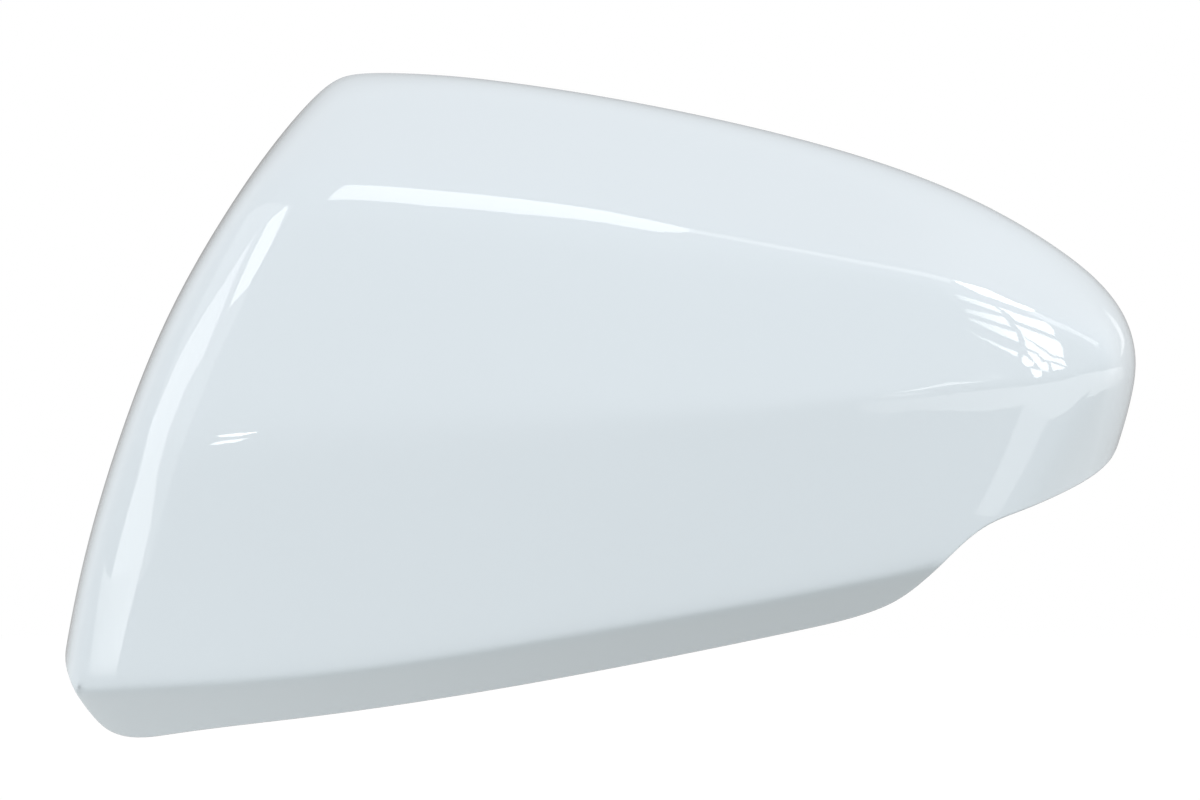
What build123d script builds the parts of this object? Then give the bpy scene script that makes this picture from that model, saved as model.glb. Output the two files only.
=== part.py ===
from build123d import *

import os

import numpy as np

# Wing mirror cover, one moulding, in its place on the car, in millimetres:
# +X points inboard, +Y to the rear and out of the open side, +Z up.
# The origin is the shoulder of the main peg, on the peg's axis.

# Wall and rim
WALL = 2.5
RIM_Y = 46.0
WALL_DRAFT = 0.055

# Front: two faces that meet in a crease and lean back from it
FRONT_Y = -20.5
BOW = 0.00022
BOW_X = -20.0
UPPER_LEAN = 0.175
LOWER_LEAN = 0.13
CREASE = [(-130.0, -10.4), (-82.5, -7.9), (-8.6, -3.9), (34.3, -1.5), (85.7, 3.6),
          (101.2, 5.2), (112.2, 7.5), (126.0, 10.6)]
CREASE_SOFT = 7.0
CREASE_SHARP = 1.4
CREASE_SPAN = (-90.0, 60.0)

# Inboard nose, where the front turns back
NOSE_X = 92.0
NOSE_SLOPE = 0.75
NOSE_SOFT = 40.0

# Top slope above the shoulder, steeper towards the nose: x and slope
TOP_RISE_Y = 38.0
TOP_SLOPE = [(-130.0, 1.74), (0.0, 1.74), (34.7, 1.77), (56.3, 1.86), (76.2, 2.0), (93.0, 2.11),
             (102.4, 2.4), (107.1, 2.7), (111.4, 3.2), (118.0, 4.2), (130.0, 6.0)]
SHOULDER_SOFT = 10.0
NOSE_SHOULDER_SOFT = 3.2
SHOULDER_SPAN = (0.0, 75.0)

# Front view of the outboard edge, and of the top edge round the nose
OUTBOARD = [(-123.6, -82.0), (-120.3, -58.3), (-115.9, -35.9), (-108.1, -9.0), (-97.6, 17.9),
            (-85.3, 40.4), (-69.9, 62.8), (-62.1, 72.6), (-51.7, 85.5)]
TOP = [(-95.0, 76.6), (-72.0, 76.5), (-44.9, 74.6), (-9.0, 70.2), (17.9, 65.3), (44.9, 59.0),
       (71.8, 50.5), (89.7, 42.4), (103.2, 34.1), (112.4, 26.5), (118.3, 18.2), (120.5, 9.0),
       (119.4, 0.0), (116.9, -9.0), (113.5, -19.1), (107.0, -38.0), (98.0, -65.0), (92.0, -83.0)]
CORNER_SOFT = 4.5
OUTBOARD_ROLL = 12.0
TOP_ROLL = 5.0
ROLL_SPAN = (-75.0, -25.0)

# Bevel along the lower edge
BEVEL = [(-130.0, -63.6), (-115.0, -63.3), (-103.0, -62.7), (-65.0, -60.0), (-9.0, -51.7),
         (43.0, -42.4), (72.0, -36.6), (126.0, -25.5)]
BEVEL_SLOPE = 2.0
BEVEL_TUCK = 0.5
BEVEL_SOFT = 1.15

# Lower edge in the front view: round the outboard corner, below the bevel, up the notch, along the lobe
LOWER_EDGE = [(-124.0, -40.0), (-120.5, -49.5), (-117.8, -55.5), (-115.6, -59.9), (-112.9, -65.3),
              (-110.3, -69.8), (-107.8, -72.5), (-104.9, -73.8), (-101.0, -74.2), (-94.2, -73.4),
              (-65.3, -69.6), (-8.7, -60.8), (43.6, -50.4), (58.0, -46.8), (64.8, -43.8),
              (70.9, -38.9), (77.4, -32.5), (83.9, -27.4), (91.8, -24.1), (101.0, -20.6),
              (107.9, -17.4), (113.0, -14.0), (116.8, -9.6), (119.4, -3.0), (122.0, 6.0), (130.0, 30.0)]

# Locating pegs: a shoulder that the housing rests on, and a pin through its hole
PEGS = [(0.0, 0.0), (-72.0, -22.0)]
BOSS_RADIUS = 5.5
PIN_RADIUS = 3.0
PIN_LENGTH = 12.0
PIN_CHAMFER = 1.0

# Sprung hooks: x, z and the way the barb faces, in degrees from +X
HOOKS = [(-84.0, 22.0, 150.0), (-34.0, 42.0, 95.0), (34.0, 32.0, 80.0), (78.0, 14.0, 60.0),
         (22.0, -32.0, 260.0), (-44.0, -43.0, 260.0)]
HOOK_WIDTH = 10.0
HOOK_THICKNESS = 2.2
HOOK_END_Y = 10.0
HOOK_BARB = 1.8
HOOK_BARB_LENGTH = 4.0
HOOK_LEAD = 2.6
HOOK_TIP = 1.6

# Stiffening ribs inside the front, from point to point of the front view
RIBS = [((-92.0, -22.0), (86.0, -6.0)), ((-72.0, -48.0), (-72.0, 30.0)), ((0.0, -44.0), (0.0, 44.0)),
        ((46.0, -32.0), (46.0, 30.0))]
RIB_THICKNESS = 1.6
RIB_HEIGHT = 6.0

# The skin is drawn from rays that fan out from a line in the opening
OVERRUN = 4.0
FAN_START = (-62.0, -6.0)
FAN_END = (86.0, 4.0)
FAN_ANGLE = 87.6
RAY_SPAN = (5.0, 220.0)
COLUMNS = 54
ROWS = 100
BEVEL_ROWS = 3.5
CREASE_ROWS = 2.0
CROWDING = 4.0
SAMPLES = 401
NORMAL_STEP = 0.002
LEAST = 0.01

# Clear of the moulding: ahead of it, behind it and above it
FAR_Y = -60.0
FAR_BACK = 250.0
FAR_Z = 110.0


def spline(points):
    """Natural cubic spline through points, by chord length: knots, points, second derivatives."""
    p = np.array(points, float)
    t = np.concatenate(([0.0], np.cumsum(np.hypot(*np.diff(p, axis=0).T))))
    h = np.diff(t)
    system = np.eye(len(t))
    right = np.zeros_like(p)
    for i in range(1, len(t) - 1):
        system[i, i - 1:i + 2] = h[i - 1], 2 * (h[i - 1] + h[i]), h[i]
        right[i] = 6 * ((p[i + 1] - p[i]) / h[i] - (p[i] - p[i - 1]) / h[i - 1])
    return t, p, np.linalg.solve(system, right)


def spline_at(curve, q):
    """Points of a spline, with first and second derivatives, at the parameters q."""
    t, p, s = curve
    i = np.clip(np.searchsorted(t, q) - 1, 0, len(t) - 2)
    h = (t[i + 1] - t[i])[:, None]
    u = (t[i + 1] - q)[:, None]
    v = (q - t[i])[:, None]
    a = p[i] / h - s[i] * h / 6
    b = p[i + 1] / h - s[i + 1] * h / 6
    point = (s[i] * u**3 + s[i + 1] * v**3) / (6 * h) + a * u + b * v
    first = (s[i + 1] * v**2 - s[i] * u**2) / (2 * h) - a + b
    return point, first, (s[i] * u + s[i + 1] * v) / h


def height_on(curve, x):
    """Height of a left-to-right spline at each x."""
    t, p, _ = curve
    q = np.interp(x.ravel(), p[:, 0], t)
    for _ in range(5):
        point, first, _ = spline_at(curve, q)
        q = q - (point[:, 0] - x.ravel()) / first[:, 0]
    return spline_at(curve, q)[0][:, 1].reshape(x.shape)


def inside(curve, x, z):
    """Distance from a clockwise edge spline, positive inside it."""
    t = curve[0]
    q = np.linspace(t[0], t[-1], 80)
    at = np.stack([x.ravel(), z.ravel()], 1)
    edge = spline_at(curve, q)[0]
    far = (at[:, :1] - edge[:, 0])**2 + (at[:, 1:] - edge[:, 1])**2
    near = q[far.argmin(1)]
    for _ in range(5):
        point, first, second = spline_at(curve, near)
        back = point - at
        bend = np.maximum((first**2).sum(1) + (back * second).sum(1), LEAST)
        near = np.clip(near - (back * first).sum(1) / bend, t[0], t[-1])
    point, first, _ = spline_at(curve, near)
    way = at - point
    side = (first[:, 1] * way[:, 0] - first[:, 0] * way[:, 1]) / np.hypot(*first.T)
    return side.reshape(x.shape)


def ramp(t, soft):
    """Nothing before zero and t after it, with a soft bend."""
    return (t + np.sqrt(t * t + soft * soft)) / 2


def blend(x, start, end):
    """From 0 to 1 over start to end, softly."""
    t = np.clip((x - start) / (end - start), 0, 1)
    return t * t * (3 - 2 * t)


CREASE_LINE = spline(CREASE)
BEVEL_LINE = spline(BEVEL)
OUTBOARD_EDGE = spline(OUTBOARD)
TOP_EDGE = spline(TOP)
TOP_SLOPE_LINE = spline(TOP_SLOPE)


def beyond(p):
    """Below 1 behind the outer skin and above 1 in front of it, for points p."""
    x, y, z = p[..., 0], p[..., 1], p[..., 2]
    bevel = ramp(height_on(BEVEL_LINE, x) - z, BEVEL_SOFT)
    over = z - height_on(CREASE_LINE, x)
    soft = CREASE_SOFT + (CREASE_SHARP - CREASE_SOFT) * blend(x, *CREASE_SPAN)
    front = FRONT_Y + BOW * (x - BOW_X)**2 + NOSE_SLOPE * ramp(x - NOSE_X, NOSE_SOFT)
    front = front + UPPER_LEAN * ramp(over, soft) + LOWER_LEAN * ramp(-over, soft)
    below_top = inside(TOP_EDGE, x, z)
    top = TOP_RISE_Y - height_on(TOP_SLOPE_LINE, x) * below_top
    bend = SHOULDER_SOFT + (NOSE_SHOULDER_SOFT - SHOULDER_SOFT) * blend(x, *SHOULDER_SPAN)
    faces = top + ramp(front - top, bend) + BEVEL_SLOPE * bevel
    out = inside(OUTBOARD_EDGE, x, z) - BEVEL_TUCK * bevel
    edge = out - ramp(out - below_top, CORNER_SOFT) + (y - RIM_Y) * WALL_DRAFT
    roll = OUTBOARD_ROLL + (TOP_ROLL - OUTBOARD_ROLL) * blend(x, *ROLL_SPAN)
    behind_faces = np.maximum(y - faces + roll, LEAST)
    behind_edge = np.maximum(edge + roll, LEAST)
    return (roll / behind_faces)**2 + (roll / behind_edge)**2


def fan(u, v):
    """Rays from the fan's line: along it for u in 0..1, round its ends outside that; v turns."""
    start = np.array([FAN_START[0], RIM_Y + OVERRUN, FAN_START[1]])
    end = np.array([FAN_END[0], RIM_Y + OVERRUN, FAN_END[1]])
    turn = np.radians(FAN_ANGLE) * (u - np.clip(u, 0, 1))
    source = start + (end - start) * np.clip(u, 0, 1)[..., None]
    way = np.stack([np.sin(turn), -np.cos(turn) * np.cos(v), np.cos(turn) * np.sin(v)], -1)
    return source, way


def on_skin(u, v):
    """Points at which rays of the fan meet the outer skin."""
    source, way = fan(*np.broadcast_arrays(u, v))
    low = np.full(source.shape[:-1], RAY_SPAN[0])
    high = np.full(source.shape[:-1], RAY_SPAN[1])
    for _ in range(40):
        reach = (low + high) / 2
        past = beyond(source + reach[..., None] * way) > 1
        high = np.where(past, reach, high)
        low = np.where(past, low, reach)
    return source + ((low + high) / 2)[..., None] * way


def lengths(points, weight=1.0):
    """Running length of a line of points, each step counted by its weight."""
    steps = np.sqrt((np.diff(points, axis=0)**2).sum(1)) * weight
    return np.concatenate(([0.0], np.cumsum(steps)))


def skin_net():
    """Columns of points on the outer skin, evenly spaced but closer together at the bevel and the crease."""
    u = np.linspace(-1, 2, SAMPLES)
    s = lengths(on_skin(u, np.zeros_like(u)))
    u = np.interp(np.linspace(0, s[-1], COLUMNS), s, u)
    v = np.linspace(-np.pi / 2, np.pi / 2, SAMPLES)
    turns = []
    for column in on_skin(u[:, None], v[None]):
        x, z = column[1:, 0], column[1:, 2]
        weight = 1 + BEVEL_ROWS * np.exp(-((z - height_on(BEVEL_LINE, x)) / CROWDING)**2)
        weight = weight + CREASE_ROWS * np.exp(-((z - height_on(CREASE_LINE, x)) / CROWDING)**2)
        s = lengths(column, weight)
        turns.append(np.interp(np.linspace(0, s[-1], ROWS), s, v))
    return on_skin(u[:, None], np.array(turns))


def inward(net):
    """Unit directions square to the skin, to its inside."""
    slope = [beyond(net + step) - beyond(net - step) for step in NORMAL_STEP * np.eye(3)]
    way = -np.stack(slope, -1)
    return way / np.sqrt((way**2).sum(-1))[..., None]


def volume_behind(points):
    """Everything to the rear of a skin that is given by its columns of points."""
    steps = [float(i) for i in range(points.shape[1])]
    columns = [[tuple(map(float, p)) for p in column] for column in points]
    wires = [Wire([Edge.make_spline(column, parameters=steps)]) for column in columns]
    return extrude(Shell.make_loft(wires).face(), amount=FAR_BACK, dir=(0, 1, 0))


def trim_block():
    """All that stays of the moulding: above its lower edge and ahead of its rim."""
    edge = Spline(*[(x, FAR_Y, z) for x, z in LOWER_EDGE])
    (x0, z0), (x1, z1) = LOWER_EDGE[0], LOWER_EDGE[-1]
    rest = Polyline((x1, FAR_Y, z1), (x1, FAR_Y, FAR_Z), (x0, FAR_Y, FAR_Z), (x0, FAR_Y, z0))
    return extrude(make_face([edge, *rest.edges()]), amount=RIM_Y - FAR_Y, dir=(0, 1, 0))


def rod(radius, start, end):
    """Round rod along +Y from start to end."""
    return Pos(0, start, 0) * extrude(Plane.XZ * Circle(radius), amount=end - start, dir=(0, 1, 0))


def peg():
    """Boss from the front wall to its shoulder at y = 0, with a chamfered pin on it."""
    pin = rod(PIN_RADIUS, -PIN_LENGTH / 2, PIN_LENGTH)
    pin = chamfer(pin.edges().group_by(Axis.Y)[-1], PIN_CHAMFER)
    return rod(BOSS_RADIUS, FAR_Y, 0) + pin


def hook():
    """Cantilever along +Y with its barb to +X."""
    t = HOOK_THICKNESS / 2
    tip = HOOK_END_Y
    outline = Polyline((-t, FAR_Y), (t, FAR_Y), (t, tip - HOOK_BARB_LENGTH),
                       (t + HOOK_BARB, tip - HOOK_BARB_LENGTH), (t + HOOK_BARB, tip - HOOK_LEAD),
                       (HOOK_TIP - t, tip), (-t, tip), close=True)
    return extrude(make_face(outline.edges()), amount=HOOK_WIDTH / 2, both=True)


def rib(start, end):
    """Upright plate from point to point of the front view, as high as the opening is deep."""
    (x0, z0), (x1, z1) = start, end
    length = np.hypot(x1 - x0, z1 - z0)
    turn = np.degrees(np.arctan2(z1 - z0, x1 - x0))
    plate = Box(length, RIM_Y - FAR_Y, RIB_THICKNESS)
    return Pos((x0 + x1) / 2, (RIM_Y + FAR_Y) / 2, (z0 + z1) / 2) * Rot(0, -turn, 0) * plate


net = skin_net()
way = inward(net)
features = [Pos(x, 0, z) * peg() for x, z in PEGS]
features += [Pos(x, 0, z) * Rot(0, -turn, 0) * hook() for x, z, turn in HOOKS]
above_ribs = volume_behind(net + (WALL + RIB_HEIGHT) * way)
features += [rib(start, end) - above_ribs for start, end in RIBS]
hollow = volume_behind(net + WALL * way) - features
mirror_cover = volume_behind(net) & trim_block()
mirror_cover = (mirror_cover - hollow).solid()

os.makedirs("parts", exist_ok=True)
export_step(mirror_cover, "parts/mirror_cover.step")
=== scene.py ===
# %% [markdown]
# A wing mirror cover is the painted cap on the front of a car's wing mirror. It is one plastic moulding,
# about 240 mm long, hollow and open to the rear, where it clips over the mirror housing.
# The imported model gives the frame: where the cover is and how large. This lesson builds the smooth visible
# moulding in that frame, adds the pegs, hooks and ribs inside it, paints it, and lights it as in a studio.

import math

import bpy
import numpy as np
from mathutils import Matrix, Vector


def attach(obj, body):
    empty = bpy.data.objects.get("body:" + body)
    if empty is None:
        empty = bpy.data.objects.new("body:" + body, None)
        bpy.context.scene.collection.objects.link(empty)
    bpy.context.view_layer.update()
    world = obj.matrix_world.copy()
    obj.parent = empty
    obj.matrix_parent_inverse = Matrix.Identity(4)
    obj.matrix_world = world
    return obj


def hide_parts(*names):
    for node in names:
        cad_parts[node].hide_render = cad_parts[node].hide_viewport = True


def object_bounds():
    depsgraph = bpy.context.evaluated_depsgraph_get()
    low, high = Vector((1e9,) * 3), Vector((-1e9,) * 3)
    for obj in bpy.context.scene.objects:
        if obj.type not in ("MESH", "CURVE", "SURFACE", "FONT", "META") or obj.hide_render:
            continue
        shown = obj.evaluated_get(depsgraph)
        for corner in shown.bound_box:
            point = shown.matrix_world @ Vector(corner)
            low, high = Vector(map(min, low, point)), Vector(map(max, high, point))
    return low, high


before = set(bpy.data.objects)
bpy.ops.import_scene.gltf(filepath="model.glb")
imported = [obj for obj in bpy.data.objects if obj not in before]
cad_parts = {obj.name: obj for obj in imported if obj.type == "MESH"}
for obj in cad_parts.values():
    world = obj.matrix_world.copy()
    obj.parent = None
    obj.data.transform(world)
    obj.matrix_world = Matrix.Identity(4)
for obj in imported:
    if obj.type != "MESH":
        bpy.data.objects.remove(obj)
cad_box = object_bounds()
print("CAD box, metres:", [[round(c, 4) for c in corner] for corner in cad_box])

# %% [markdown]
# The front of the cover is two faces that lean back from a crease, a top that slopes up from a shoulder,
# a bevel along the lower edge, and a wall that rolls over at the outboard side. Each is a height or a
# distance in millimetres, and soft maximums join them. A subdivision surface could do it too, but its cage
# would have to be pulled about until the crease faded at the right place; here a pair of numbers says where
# it does. The frame has +X inboard, +Y to the rear and +Z up.

# %% Sizes of the moulding, in millimetres
MM = 0.001
WALL = 2.5
RIM_Y = 46.0
WALL_DRAFT = 0.055
FRONT_Y = -20.5
BOW = 0.00022
BOW_X = -20.0
UPPER_LEAN = 0.175
LOWER_LEAN = 0.13
CREASE = [(-130.0, -10.4), (-82.5, -7.9), (-8.6, -3.9), (34.3, -1.5), (85.7, 3.6),
          (101.2, 5.2), (112.2, 7.5), (126.0, 10.6)]
CREASE_SOFT = 7.0
CREASE_SHARP = 1.4
CREASE_SPAN = (-90.0, 60.0)
NOSE_X = 92.0
NOSE_SLOPE = 0.75
NOSE_SOFT = 40.0
TOP_RISE_Y = 38.0
TOP_SLOPE = [(-130.0, 1.74), (0.0, 1.74), (34.7, 1.77), (56.3, 1.86), (76.2, 2.0), (93.0, 2.11),
             (102.4, 2.4), (107.1, 2.7), (111.4, 3.2), (118.0, 4.2), (130.0, 6.0)]
SHOULDER_SOFT = 10.0
NOSE_SHOULDER_SOFT = 3.2
SHOULDER_SPAN = (0.0, 75.0)
OUTBOARD = [(-123.6, -82.0), (-120.3, -58.3), (-115.9, -35.9), (-108.1, -9.0), (-97.6, 17.9),
            (-85.3, 40.4), (-69.9, 62.8), (-62.1, 72.6), (-51.7, 85.5)]
TOP = [(-95.0, 76.6), (-72.0, 76.5), (-44.9, 74.6), (-9.0, 70.2), (17.9, 65.3), (44.9, 59.0),
       (71.8, 50.5), (89.7, 42.4), (103.2, 34.1), (112.4, 26.5), (118.3, 18.2), (120.5, 9.0),
       (119.4, 0.0), (116.9, -9.0), (113.5, -19.1), (107.0, -38.0), (98.0, -65.0), (92.0, -83.0)]
CORNER_SOFT = 4.5
OUTBOARD_ROLL = 12.0
TOP_ROLL = 5.0
ROLL_SPAN = (-75.0, -25.0)
BEVEL = [(-130.0, -63.6), (-115.0, -63.3), (-103.0, -62.7), (-65.0, -60.0), (-9.0, -51.7),
         (43.0, -42.4), (72.0, -36.6), (126.0, -25.5)]
BEVEL_SLOPE = 2.0
BEVEL_TUCK = 0.5
BEVEL_SOFT = 1.15
LOWER_EDGE = [(-124.0, -40.0), (-120.5, -49.5), (-117.8, -55.5), (-115.6, -59.9), (-112.9, -65.3),
              (-110.3, -69.8), (-107.8, -72.5), (-104.9, -73.8), (-101.0, -74.2), (-94.2, -73.4),
              (-65.3, -69.6), (-8.7, -60.8), (43.6, -50.4), (58.0, -46.8), (64.8, -43.8),
              (70.9, -38.9), (77.4, -32.5), (83.9, -27.4), (91.8, -24.1), (101.0, -20.6),
              (107.9, -17.4), (113.0, -14.0), (116.8, -9.6), (119.4, -3.0), (122.0, 6.0), (130.0, 30.0)]
print("wall", WALL, "mm, rim at y", RIM_Y, "mm")


# %% Curves of the front view
def spline(points):
    """Natural cubic spline by chord length: its knots, points and second derivatives."""
    p = np.array(points, float)
    t = np.concatenate(([0.0], np.cumsum(np.hypot(*np.diff(p, axis=0).T))))
    h = np.diff(t)
    system = np.eye(len(t))
    right = np.zeros_like(p)
    for i in range(1, len(t) - 1):
        system[i, i - 1:i + 2] = h[i - 1], 2 * (h[i - 1] + h[i]), h[i]
        right[i] = 6 * ((p[i + 1] - p[i]) / h[i] - (p[i] - p[i - 1]) / h[i - 1])
    return t, p, np.linalg.solve(system, right)


def spline_at(curve, q):
    """Points of a spline, with first and second derivatives."""
    t, p, s = curve
    i = np.clip(np.searchsorted(t, q) - 1, 0, len(t) - 2)
    h = (t[i + 1] - t[i])[:, None]
    u = (t[i + 1] - q)[:, None]
    v = (q - t[i])[:, None]
    a = p[i] / h - s[i] * h / 6
    b = p[i + 1] / h - s[i + 1] * h / 6
    point = (s[i] * u**3 + s[i + 1] * v**3) / (6 * h) + a * u + b * v
    first = (s[i + 1] * v**2 - s[i] * u**2) / (2 * h) - a + b
    return point, first, (s[i] * u + s[i + 1] * v) / h


def height_on(curve, x):
    """Height of a left-to-right spline at each x."""
    t, p, _ = curve
    q = np.interp(x.ravel(), p[:, 0], t)
    for _ in range(3):
        point, first, _ = spline_at(curve, q)
        q = q - (point[:, 0] - x.ravel()) / first[:, 0]
    return spline_at(curve, q)[0][:, 1].reshape(x.shape)


def inside(curve, x, z):
    """Distance from an edge that runs clockwise round the front view, positive inside it."""
    t = curve[0]
    q = np.linspace(t[0], t[-1], 48)
    at = np.stack([x.ravel(), z.ravel()], 1)
    edge = spline_at(curve, q)[0]
    far = (at[:, :1] - edge[:, 0])**2 + (at[:, 1:] - edge[:, 1])**2
    near = q[far.argmin(1)]
    for _ in range(4):
        point, first, second = spline_at(curve, near)
        back = point - at
        bend = np.maximum((first**2).sum(1) + (back * second).sum(1), 0.05)
        near = np.clip(near - (back * first).sum(1) / bend, t[0], t[-1])
    point, first, _ = spline_at(curve, near)
    way = at - point
    side = (first[:, 1] * way[:, 0] - first[:, 0] * way[:, 1]) / np.hypot(*first.T)
    return side.reshape(x.shape)


CREASE_LINE = spline(CREASE)
BEVEL_LINE = spline(BEVEL)
LOWER_LINE = spline(LOWER_EDGE)
OUTBOARD_EDGE = spline(OUTBOARD)
TOP_EDGE = spline(TOP)
TOP_SLOPE_LINE = spline(TOP_SLOPE)
print("lower edge, mm along its points:", round(LOWER_LINE[0][-1], 1))


# %% The outer skin
def ramp(t, soft):
    """Zero below zero and t above it, rounded at the bend."""
    return (t + np.sqrt(t * t + soft * soft)) / 2


def blend(x, start, end):
    """Smooth step from 0 at start to 1 at end."""
    t = np.clip((x - start) / (end - start), 0, 1)
    return t * t * (3 - 2 * t)


def beyond(p):
    """Less than 1 behind the outer skin, more than 1 in front of it."""
    x, y, z = p[..., 0], p[..., 1], p[..., 2]
    bevel = ramp(height_on(BEVEL_LINE, x) - z, BEVEL_SOFT)
    over = z - height_on(CREASE_LINE, x)
    soft = CREASE_SOFT + (CREASE_SHARP - CREASE_SOFT) * blend(x, *CREASE_SPAN)
    front = FRONT_Y + BOW * (x - BOW_X)**2 + NOSE_SLOPE * ramp(x - NOSE_X, NOSE_SOFT)
    front = front + UPPER_LEAN * ramp(over, soft) + LOWER_LEAN * ramp(-over, soft)
    below_top = inside(TOP_EDGE, x, z)
    top = TOP_RISE_Y - height_on(TOP_SLOPE_LINE, x) * below_top
    bend = SHOULDER_SOFT + (NOSE_SHOULDER_SOFT - SHOULDER_SOFT) * blend(x, *SHOULDER_SPAN)
    faces = top + ramp(front - top, bend) + BEVEL_SLOPE * bevel
    out = inside(OUTBOARD_EDGE, x, z) - BEVEL_TUCK * bevel
    edge = out - ramp(out - below_top, CORNER_SOFT) + (y - RIM_Y) * WALL_DRAFT
    roll = OUTBOARD_ROLL + (TOP_ROLL - OUTBOARD_ROLL) * blend(x, *ROLL_SPAN)
    behind_faces = np.maximum(y - faces + roll, 0.01)
    behind_edge = np.maximum(edge + roll, 0.01)
    return (roll / behind_faces)**2 + (roll / behind_edge)**2


def inward(p):
    """Unit directions square to the skin, to its inside."""
    step = 0.002
    slope = [beyond(p + step * axis) - beyond(p - step * axis) for axis in np.eye(3)]
    way = -np.stack(slope, -1)
    return way / np.sqrt((way**2).sum(-1))[..., None]


print("inside the cover, at the origin:", beyond(np.zeros((1, 3))).round(2))

# %% [markdown]
# To mesh the skin, rays fan out from a line across the opening, and each stops where it meets the skin.
# Columns of rays run from the lower edge up over the front to the top edge, so the mesh lines follow the
# crease and the bevel, and its two poles lie on the rim at the ends, where nobody sees them.
# Rows crowd together at the crease and the bevel, where the skin bends. Marching cubes would be shorter,
# but its ragged edges show as ripples in gloss paint.

# %% Rays from the opening to the skin
FAN_START = (-62.0, -6.0)
FAN_END = (86.0, 4.0)
COLUMNS = 270
ROWS = 200
INNER_ROWS = 80
SMOOTH = 9
LOWER_CUT_SHARE = 1.5
BEND_WIDTH = 3.0
BEVEL_CROWD = 3.0
CREASE_CROWD = 2.0
RELAX = 12
LIP = 0.45


def fan(u, v):
    """Ray sources and directions: u is 0 to 1 along the line, -1 to 0 and 1 to 2 round its ends."""
    start = np.array([FAN_START[0], RIM_Y, FAN_START[1]])
    end = np.array([FAN_END[0], RIM_Y, FAN_END[1]])
    turn = np.pi / 2 * (u - np.clip(u, 0, 1))
    source = start + (end - start) * np.clip(u, 0, 1)[..., None]
    way = np.stack([np.sin(turn), -np.cos(turn) * np.cos(v), np.cos(turn) * np.sin(v)], -1)
    return source, way


def solve(measure, near, far, halvings):
    """Where a measure falls to zero between near and far: halve the span a few times, then take secants."""
    for _ in range(halvings):
        middle = (near + far) / 2
        short = measure(middle) > 0
        near = np.where(short, middle, near)
        far = np.where(short, far, middle)
    before, after = measure(near), measure(far)
    for _ in range(4):
        drop = np.where(before == after, 1, before - after)
        near, far = far, near + (far - near) * before / drop
        before, after = after, measure(far)
    return far


def on_skin(u, v):
    """Points at which rays of the fan meet the outer skin."""
    source, way = fan(*np.broadcast_arrays(u, v))

    def short_of_skin(reach):
        return 1 / np.sqrt(beyond(source + reach[..., None] * way)) - 1

    shape = source.shape[:-1]
    reach = solve(short_of_skin, np.full(shape, 10.0), np.full(shape, 110.0), 5)
    return source + reach[..., None] * way


def wall_point(u, v, depth):
    """Points at a depth inside the outer skin."""
    p = on_skin(u, v)
    return p + depth * inward(p) if depth else p


def room(p):
    """How far points lie inside the two cuts that trim the moulding: the rim and the lower edge."""
    return np.minimum(RIM_Y - p[..., 1], p[..., 2] - height_on(LOWER_LINE, p[..., 0]))


def turn_at_cut(u, way, depth, gap):
    """Turn of the ray in each column that comes within a gap of the cuts, up (way 1) or down (way -1)."""
    def short_of_cut(v):
        return room(wall_point(u, v, depth)) - gap

    return solve(short_of_cut, np.zeros_like(u), np.full_like(u, way * np.radians(100)), 8)


def running_length(points, weight=None):
    """Length along each line of points, each step counted by its weight."""
    steps = np.sqrt((np.diff(points, axis=-2)**2).sum(-1))
    if weight is not None:
        steps = steps * (weight[..., 1:] + weight[..., :-1]) / 2
    return np.concatenate([np.zeros_like(steps[..., :1]), np.cumsum(steps, -1)], -1)


def column_turns():
    """Columns spaced along the front and its lower cut, one of them at each end of the lower edge."""
    u = np.linspace(-1, 2, 601)
    s = running_length(on_skin(u, np.zeros_like(u)))
    s = s + LOWER_CUT_SHARE * running_length(on_skin(u, turn_at_cut(u, -1, 0, 0)))
    columns = np.interp(np.linspace(0, s[-1], COLUMNS + 2), s, u)[1:-1]
    rim = on_skin(u, np.full_like(u, -np.pi / 2))
    left_of_edge = rim[:, 2] > height_on(LOWER_LINE, rim[:, 0])
    for corner in np.flatnonzero(np.diff(left_of_edge.astype(int))):
        columns[np.abs(columns - u[corner]).argmin()] = u[corner]
    return columns


def beside(shares):
    """Each column averaged with those beside it, so that the rows run on smoothly past the corners."""
    weights = np.hanning(2 * SMOOTH + 3)[1:-1]
    padded = np.pad(shares, ((SMOOTH, SMOOTH), (0, 0)), "edge")
    return sum(weight * padded[k:k + len(shares)] for k, weight in enumerate(weights)) / weights.sum()


def row_turns(u, low, high, rows):
    """Ray turns of each column, evenly spaced on the skin but closer together where it bends."""
    v = low[:, None] + (high - low)[:, None] * np.linspace(0, 1, 70)
    p = on_skin(u[:, None], v)
    from_bevel = p[..., 2] - height_on(BEVEL_LINE, p[..., 0])
    from_crease = p[..., 2] - height_on(CREASE_LINE, p[..., 0])
    crowd = 1 + BEVEL_CROWD * np.exp(-(from_bevel / BEND_WIDTH)**2)
    crowd = crowd + CREASE_CROWD * np.exp(-(from_crease / BEND_WIDTH)**2)
    s = running_length(p, crowd)
    even = np.linspace(0, 1, rows)
    turns = np.array([np.interp(even * along[-1], along, turns) for along, turns in zip(s, v)])
    shares = beside((turns - low[:, None]) / (high - low)[:, None])
    return low[:, None] + (high - low)[:, None] * shares


print("skin ahead of the middle of the line, mm:", on_skin(np.array([0.5]), np.zeros(1)).round(1))
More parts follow.
